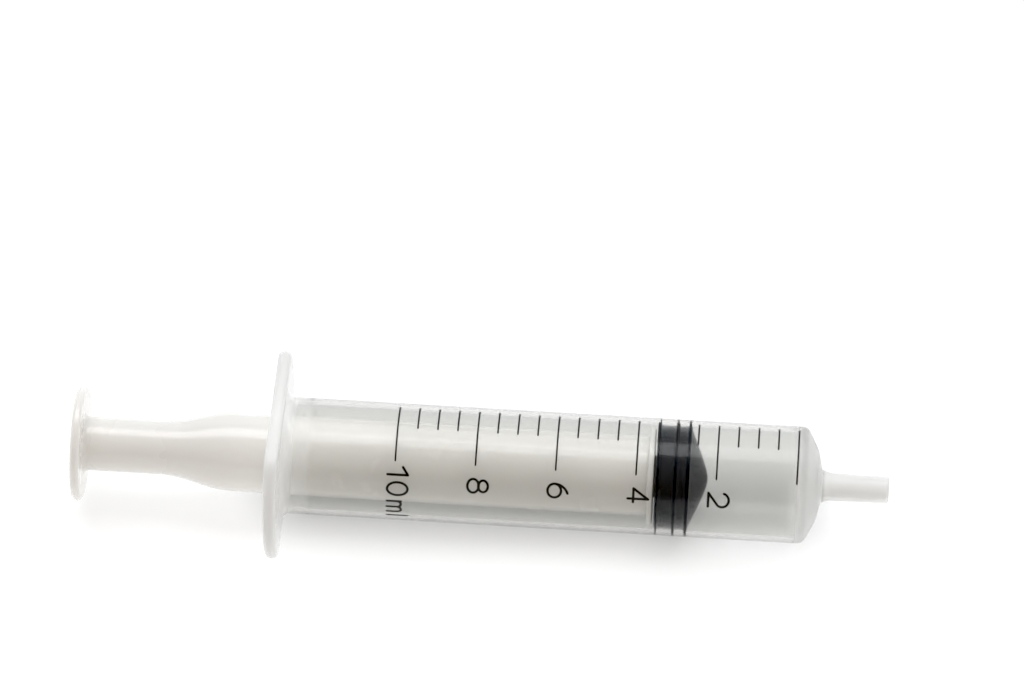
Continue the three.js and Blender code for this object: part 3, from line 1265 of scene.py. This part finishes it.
    def dress(self, finish: PadPrintInk) -> None:
        """Prints every line and letter, each standing for its CAD node.

        Args:
            finish: the ink.
        """
        ink = finish.material()
        for half in range(2 * self.capacity + 1):
            volume = half / 2
            near = self.long_near if half % 4 == 0 else self.short_near
            label = f"{volume:g}".replace(".", "_")
            line = self.print_line(f"ink_line_{label}ml", volume, near)
            place_piece(line, Body.BARREL, [f"graduation_{label}ml"], ink)
        letters = self.letters()
        for digit in "2468":
            numeral = self.print_letter(f"ink_{digit}", letters[digit], self.digit_start, int(digit))
            place_piece(numeral, Body.BARREL, [f"numeral_{digit}"], ink)
        start = self.ten_start
        word = {"1": "numeral_10_one", "0": "numeral_10_zero", "m": "unit_m", "l": "unit_l"}
        for key, node in word.items():
            letter = self.print_letter("ink_" + node, letters[key], start, self.capacity)
            place_piece(letter, Body.BARREL, [node], ink)
            start -= math.degrees((letters[key].width + self.letter_gap) / self.barrel.radius)


# ------------------------------------------------------------------ studio


@dataclass
class Softbox:
    """A rectangular studio light, aimed at the syringe."""

    name: str
    azimuth: float
    elevation: float
    distance: float
    width: float
    height: float
    power: float
    colour: str = "ffffff"

    def place(self, target: Vector) -> None:
        """Hangs the light at its azimuth and elevation round the target, facing it.

        Args:
            target: the point that it faces, in metres.
        """
        light = bpy.data.lights.new(self.name, "AREA")
        light.shape, light.size, light.size_y = "RECTANGLE", self.width, self.height
        light.energy = self.power
        light.color = linear(self.colour)[:3]
        lamp = bpy.data.objects.new(self.name, light)
        a, e = math.radians(self.azimuth), math.radians(self.elevation)
        back = Vector((math.sin(a) * math.cos(e), -math.cos(a) * math.cos(e), math.sin(e)))
        lamp.location = target + back * self.distance
        lamp.rotation_euler = (-back).to_track_quat("-Z", "Y").to_euler()
        bpy.context.scene.collection.objects.link(lamp)


@dataclass
class Studio:
    """The pale table, the soft lights and the camera."""

    barrel: Barrel
    azimuth: float = 3.19
    elevation: float = 44.0
    roll: float = 1.11
    distance_mm: float = 875.0
    focal_mm: float = 216.2
    flange_right_mm: float = -32.29
    flange_down_mm: float = 15.18
    # Where the table's painted shadow lies: its centre's Y, how far its ends stay inside the tube, and its half
    # depth.
    shade_y_mm: float = 4.5
    shade_inset_mm: float = 4.0
    shade_half_depth_mm: float = 1.5
    front_colour: str = "a0978e"
    back_colour: str = "d8dbdd"
    paling: tuple[float, float] = (-0.8, 0.5)
    black_level: float = 0.028
    white_level: float = 0.92

    def add_floor(self) -> None:
        """Lays the table under the two places that touch it: the flange's flat and the barrel's front."""
        rest_x = FLANGE_FRONT_X - FLANGE_THICKNESS / 2
        front_x = FLANGE_FRONT_X + self.barrel.tube_end
        slope = (AXIS_Z - self.barrel.radius) / (front_x - rest_x)
        reach = 3000.0
        spots = np.array([(-1, -1), (1, -1), (1, 1), (-1, 1)], float) * reach
        points = np.column_stack([spots, (spots[:, 0] - rest_x) * slope])
        floor = mesh_object("floor", points, [(0, 1, 2, 3)])
        # The table's glow is dimmed in this rectangle under the barrel, a painted shadow.
        middle = FLANGE_FRONT_X + self.barrel.tube_end / 2
        half_length = self.barrel.tube_end / 2 - self.shade_inset_mm
        table = LitTable((middle, self.shade_y_mm), (half_length, self.shade_half_depth_mm))
        floor.data.materials.append(table.material())

    def add_camera(self) -> None:
        """Sets the camera's direction and roll, and moves it so that the flange stands where it should."""
        a, e = math.radians(self.azimuth), math.radians(self.elevation)
        back = Vector((math.sin(a) * math.cos(e), -math.cos(a) * math.cos(e), math.sin(e)))
        turn = (-back).to_track_quat("-Z", "Y").to_matrix() @ Matrix.Rotation(math.radians(self.roll), 3, "Z")
        right, up = turn.col[0], turn.col[1]
        flange = Vector((FLANGE_FRONT_X, 0, AXIS_Z))
        from_camera = right * self.flange_right_mm - up * self.flange_down_mm - back * self.distance_mm
        camera = bpy.data.objects.new("camera", bpy.data.cameras.new("camera"))
        camera.data.lens = self.focal_mm
        camera.data.clip_start, camera.data.clip_end = 0.01, 20
        camera.matrix_world = Matrix.Translation((flange - from_camera) * MM) @ turn.to_4x4()
        bpy.context.scene.collection.objects.link(camera)
        bpy.context.scene.camera = camera

    def add_lights(self) -> None:
        """Hangs the overhead softbox, and fills the room with light that grows paler towards the back."""
        target = Vector((0, 0, AXIS_Z * MM))
        overhead = Softbox(
            name="overhead",
            azimuth=180,
            elevation=77,
            distance=1.0,
            width=1.5,
            height=0.5,
            power=6.0,
            colour="fbfcff",
        )
        overhead.place(target)
        world = bpy.data.worlds.new("studio_air")
        world.use_nodes = True
        tree = world.node_tree
        heading = add_node(tree, "TexCoord").outputs["Generated"]
        behind = add_node(tree, "SeparateXYZ", {0: heading}).outputs["Y"]
        share = add_node(tree, "MapRange", {0: behind, 1: self.paling[0], 2: self.paling[1]})
        colour = add_node(
            tree,
            "Mix",
            {0: share.outputs[0], 6: linear(self.front_colour), 7: linear(self.back_colour)},
            data_type="RGBA",
        )
        tree.links.new(colour.outputs[2], tree.nodes["Background"].inputs["Color"])
        bpy.context.scene.world = world
        view = bpy.context.scene.view_settings
        view.view_transform = "Standard"
        view.use_curve_mapping = True
        view.curve_mapping.black_level = [self.black_level] * 3
        view.curve_mapping.white_level = [self.white_level] * 3
        view.curve_mapping.update()

    def build(self) -> None:
        """Builds the whole studio."""
        self.add_floor()
        self.add_lights()
        self.add_camera()


def main() -> None:
    """Builds the syringe and the studio."""
    logging.basicConfig(level=logging.INFO, format="%(name)s: %(message)s")
    barrel = Barrel()
    barrel.dress(ClearPolypropylene())
    PlungerRod().dress(MilkyPolypropylene())
    Stopper().dress(MouldedRubber())
    PrintedScale(Pen(), Pen(half_width=0.12), barrel).dress(PadPrintInk())
    Studio(barrel).build()


if __name__ == "__main__":
    main()
